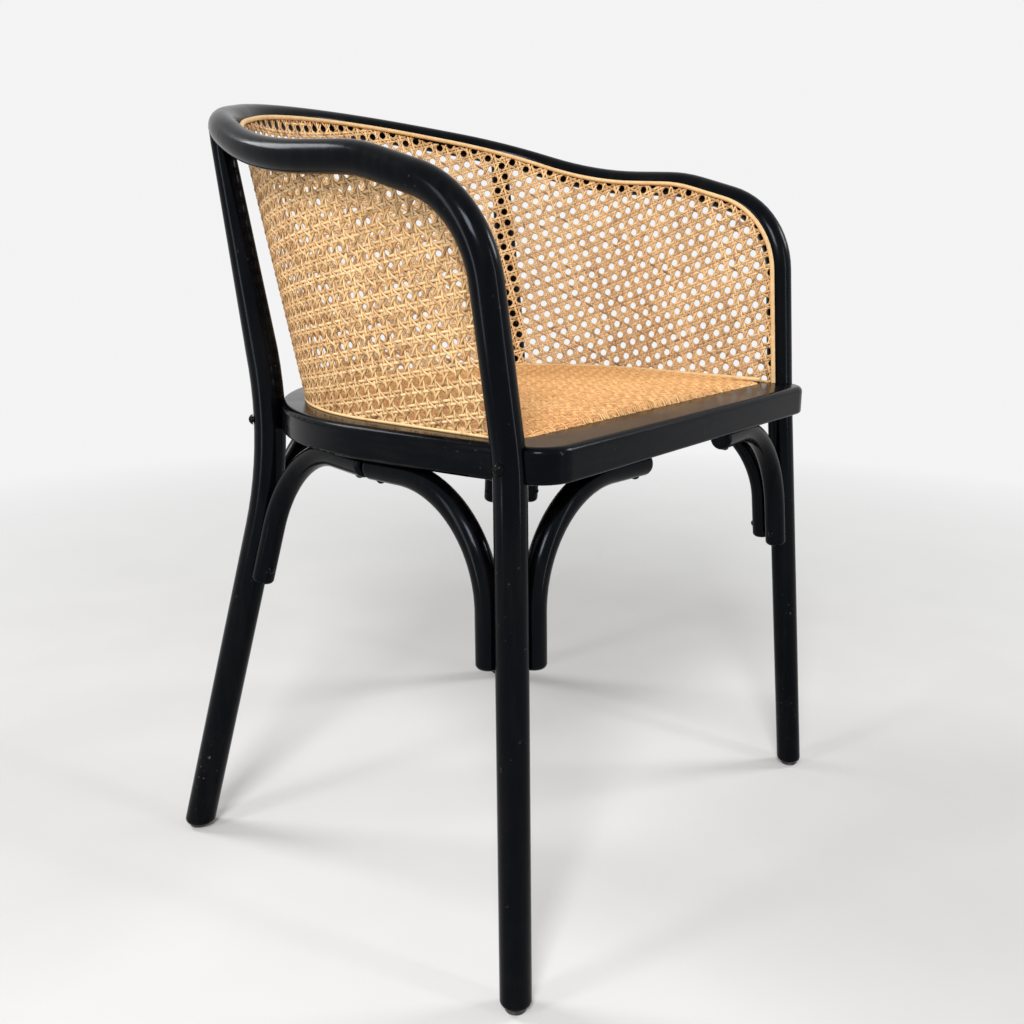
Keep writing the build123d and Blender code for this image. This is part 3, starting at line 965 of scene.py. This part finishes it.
@dataclass(frozen=True)
class Studio:
    """A pale floor that fades into a white background, soft lamps and the photograph's camera."""

    lamps: tuple[Lamp, ...] = (
        Lamp("key", (-2.1, -1.3, 2.3), 0.8, 0.8, 68.0),
        Lamp("side", (1.9, -1.7, 1.9), 0.7, 0.7, 32.0),
        Lamp("back", (-0.9, 2.2, 2.4), 0.9, 0.9, 44.0),
        Lamp("left_strip", (-2.3, 0.57, 0.95), 0.4, 1.7, 19.0),
        Lamp("right_strip", (0.3, -2.4, 0.95), 0.16, 1.7, 11.0),
    )
    target: Vector = Vector((0, 0, 0.45))
    white: float = 0.9
    ambient: float = 0.28
    floor_colour: Colour = (0.68, 0.675, 0.67, 1)
    floor_radius: float = 4.0
    floor_sides: int = 96
    fade_start: float = 0.7
    fade_end: float = 2.1
    camera_place: Vector = Vector((-0.8441, -0.7046, 0.6137))
    camera_yaw: float = 51.61
    camera_pitch: float = -14.52
    camera_lens: float = 36.59
    camera_sensor: float = 36.0

    def build(self) -> None:
        """Set up the whole studio."""
        self.floor()
        self.world()
        for lamp in self.lamps:
            lamp.light(self.target)
        self.camera()
        bpy.context.scene.view_settings.view_transform = "Standard"

    def floor(self) -> None:
        """Lay a round floor that turns clear towards its edge."""
        mesh = bmesh.new()
        bmesh.ops.create_circle(mesh, cap_ends=True, segments=self.floor_sides, radius=self.floor_radius)
        data = bpy.data.meshes.new("floor")
        mesh.to_mesh(data)
        mesh.free()
        made = bpy.data.materials.new("floor")
        made.use_nodes = True
        graph = Graph(made.node_tree)
        place = graph.place()
        far = graph.add("ShaderNodeVectorMath", {0: place}, operation="LENGTH").outputs["Value"]
        clear = graph.ramp(far, self.fade_start, self.fade_end)
        mottle = graph.ramp(graph.noise(place, 6.0, 4.0), 0.3, 0.7, 0.96, 1.0)
        inputs = {0: self.floor_colour[:3], "Scale": mottle}
        tint = graph.add("ShaderNodeVectorMath", inputs, operation="SCALE")
        matt = graph.add("ShaderNodeBsdfDiffuse", {"Color": tint.outputs[0]})
        gone = graph.add("ShaderNodeBsdfTransparent")
        mix = graph.add("ShaderNodeMixShader", {0: clear, 1: matt.outputs[0], 2: gone.outputs[0]})
        graph.add("ShaderNodeOutputMaterial", {"Surface": mix.outputs[0]})
        data.materials.append(made)
        floor = bpy.data.objects.new("floor", data)
        bpy.context.scene.collection.objects.link(floor)

    def world(self) -> None:
        """Make the background white to look at and softer as a light."""
        world = bpy.data.worlds.new("studio")
        world.use_nodes = True
        graph = Graph(world.node_tree)
        path = graph.add("ShaderNodeLightPath").outputs
        seen = graph.math("ADD", path["Is Camera Ray"], path["Is Glossy Ray"])
        seen = graph.math("ADD", seen, path["Is Transmission Ray"])
        level = graph.ramp(seen, 0.0, 1.0, self.ambient, self.white)
        sky = graph.add("ShaderNodeBackground", {"Color": (1, 1, 1, 1), "Strength": level})
        graph.add("ShaderNodeOutputWorld", {"Surface": sky.outputs[0]})
        bpy.context.scene.world = world

    def camera(self) -> None:
        """Stand the camera where the photograph was taken from."""
        data = bpy.data.cameras.new("camera")
        data.sensor_width = self.camera_sensor
        data.lens = self.camera_lens
        camera = bpy.data.objects.new("camera", data)
        camera.location = self.camera_place
        tilt = math.radians(90 + self.camera_pitch)
        camera.rotation_euler = (tilt, 0, -math.radians(self.camera_yaw))
        bpy.context.scene.collection.objects.link(camera)
        bpy.context.scene.camera = camera


def main() -> None:
    """Dress the chair, weave its cane and set up the studio."""
    logging.basicConfig(level=logging.INFO)
    for dressing in DRESSINGS:
        dressing.dress()
    Webbing(CaneWall()).build()
    SeatWeave().build()
    Studio().build()


if __name__ == "__main__":
    main()
